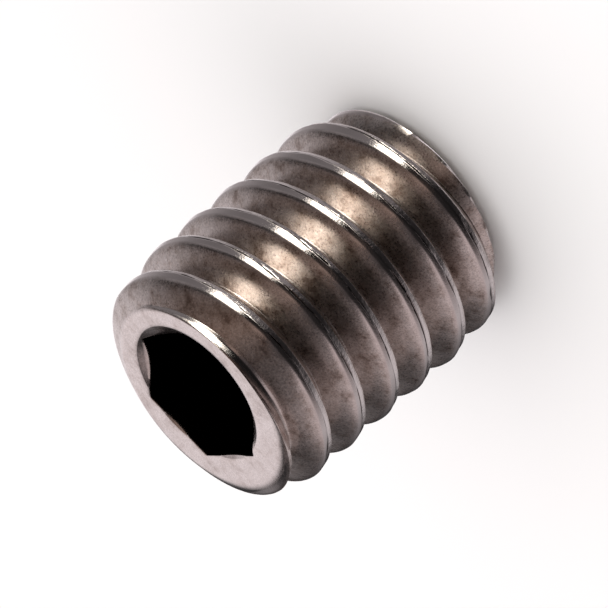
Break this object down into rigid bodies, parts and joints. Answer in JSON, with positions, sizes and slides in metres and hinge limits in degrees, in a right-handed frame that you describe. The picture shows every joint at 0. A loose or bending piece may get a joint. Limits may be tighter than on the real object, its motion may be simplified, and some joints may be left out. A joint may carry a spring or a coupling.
{
  "type": "grub set screw",
  "caption": "Headless socket set screw: fully threaded rod with a hexagon socket in one chamfered end and a flat point on the other.",
  "frame": {"origin": "middle of the point's flat, on the screw's axis", "axes": "+Z along the screw's axis from the point to the socket, +X towards the right-hand side as the socket's far wall is faced from -Y"},
  "size_m": [0.0078, 0.0078, 0.0095],
  "materials": {
    "steel": "bare rolled steel with a warm grey tone, burnished in the thread and finely pitted along the crests"
  },
  "bodies": {
    "root": {"set_screw": "steel"}
  },
  "joints": []
}
